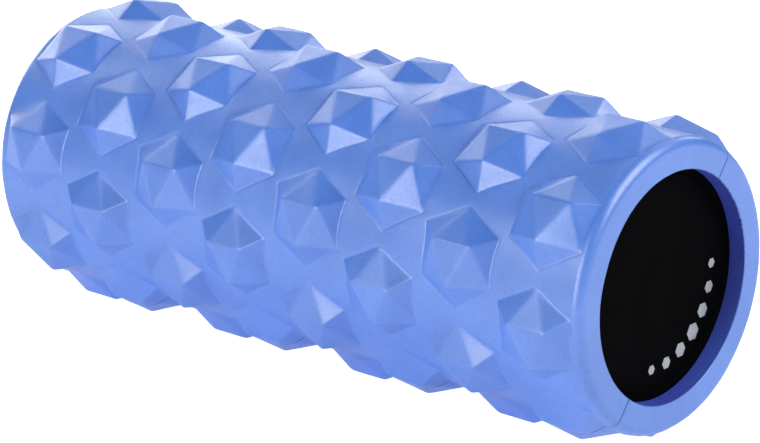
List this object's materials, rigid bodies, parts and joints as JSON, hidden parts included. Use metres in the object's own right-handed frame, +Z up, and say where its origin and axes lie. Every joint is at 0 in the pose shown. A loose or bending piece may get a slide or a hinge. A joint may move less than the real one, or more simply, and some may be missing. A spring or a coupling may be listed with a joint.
{
  "type": "foam roller",
  "caption": "Hollow cylindrical massage roller with a thick blue foam cover of faceted bumps on a rigid tube, closed by a black plug set into each end.",
  "frame": {"origin": "on the roller's axis, midway between its two end faces", "axes": "+Y along the roller's axis, from the near end to the far end; +Z up as the roller lies on two rows of bumps; +X completes the right-handed frame"},
  "size_m": [0.1398, 0.334, 0.1398],
  "materials": {
    "foam": "matte",
    "tube": "matte",
    "glue": "satin",
    "plug": "satin",
    "print": "satin"
  },
  "bodies": {
    "root": {"foam_half_front": "foam", "foam_half_rear": "foam", "core_tube": "tube", "glue_film": "glue", "end_plug_near": "plug", "end_plug_far": "plug", "plug_print_near": "print", "plug_print_far": "print"}
  },
  "joints": []
}
